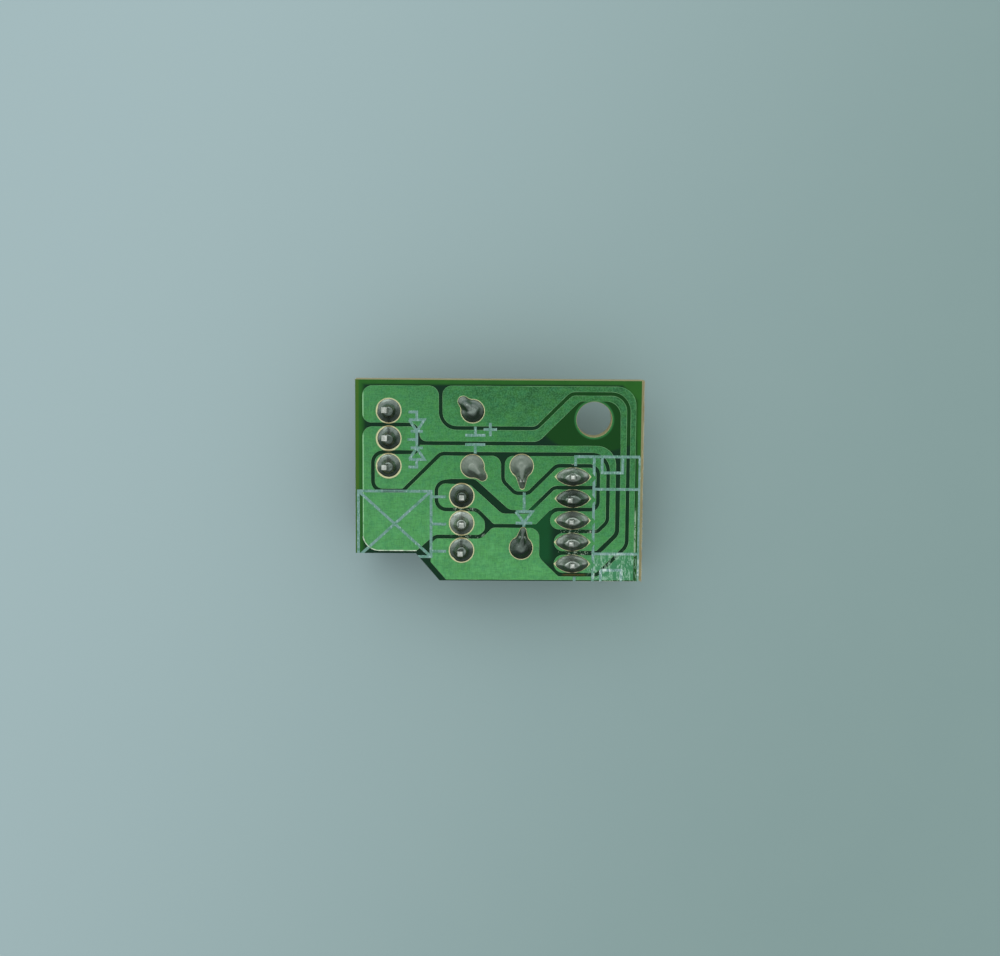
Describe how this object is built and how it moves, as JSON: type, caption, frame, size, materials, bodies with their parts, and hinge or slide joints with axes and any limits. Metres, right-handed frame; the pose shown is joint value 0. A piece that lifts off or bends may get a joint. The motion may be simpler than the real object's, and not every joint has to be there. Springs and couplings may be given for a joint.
{
  "type": "infrared sensor board",
  "caption": "Small single-sided printed board with an infrared receiver, an indicator lamp, a capacitor, a diode and a side-entry pin header.",
  "frame": {"origin": "on the axis of the screw hole, at the component face of the laminate", "axes": "+X along the long edge, out of the header's mouth; +Y towards the long edge nearest the screw hole; +Z out of the solder side"},
  "size_m": [0.026, 0.0187, 0.0085],
  "materials": {
    "laminate": "resin-bonded sheet, sawn edges",
    "masked_copper": "copper foil under translucent green solder mask",
    "solder_mask": "green solder mask on bare laminate",
    "legend_ink": "thin printed ink",
    "solder": "tin solder, bright to dull grey",
    "tinned_steel": "tinned wire",
    "tinned_brass": "tinned square pin",
    "milky_epoxy": "translucent white epoxy",
    "can_aluminium": "drawn aluminium",
    "printed_sleeve": "shrunk plastic sleeve",
    "bung_rubber": "rubber",
    "dark_epoxy": "dark moulded epoxy",
    "clear_glass": "orange-tinted clear glass",
    "band_paint": "black paint band",
    "copper_stud": "copper-clad stud",
    "metallised_die": "silver-coated die",
    "cream_nylon": "moulded nylon"
  },
  "bodies": {
    "root": {"board_laminate": "laminate", "foil_led_a": "masked_copper", "foil_ground": "masked_copper", "foil_led_b": "masked_copper", "foil_supply": "masked_copper", "foil_input": "masked_copper", "foil_signal": "masked_copper", "solder_mask": "solder_mask", "component_legend": "legend_ink", "led_joint_1": "solder", "led_joint_2": "solder", "led_joint_3": "solder", "receiver_joint_1": "solder", "receiver_joint_2": "solder", "receiver_joint_3": "solder", "header_joint_1": "solder", "header_joint_2": "solder", "header_joint_3": "solder", "header_joint_4": "solder", "header_joint_5": "solder", "capacitor_joint_plus": "solder", "capacitor_joint_minus": "solder", "diode_joint_top": "solder", "diode_joint_bottom": "solder", "led_lead_1": "tinned_steel", "led_lead_2": "tinned_steel", "led_lead_3": "tinned_steel", "receiver_lead_1": "tinned_steel", "receiver_lead_2": "tinned_steel", "receiver_lead_3": "tinned_steel", "capacitor_lead_plus": "tinned_steel", "capacitor_lead_minus": "tinned_steel", "diode_lead_top": "tinned_steel", "diode_lead_bottom": "tinned_steel", "header_pin_1": "tinned_brass", "header_pin_2": "tinned_brass", "header_pin_3": "tinned_brass", "header_pin_4": "tinned_brass", "header_pin_5": "tinned_brass", "led_body": "milky_epoxy", "capacitor_can": "can_aluminium", "capacitor_sleeve": "printed_sleeve", "capacitor_bung": "bung_rubber", "receiver_body": "dark_epoxy", "diode_glass": "clear_glass", "diode_band": "band_paint", "diode_stud_top": "copper_stud", "diode_stud_bottom": "copper_stud", "diode_chip": "metallised_die", "header_housing": "cream_nylon"}
  },
  "joints": []
}
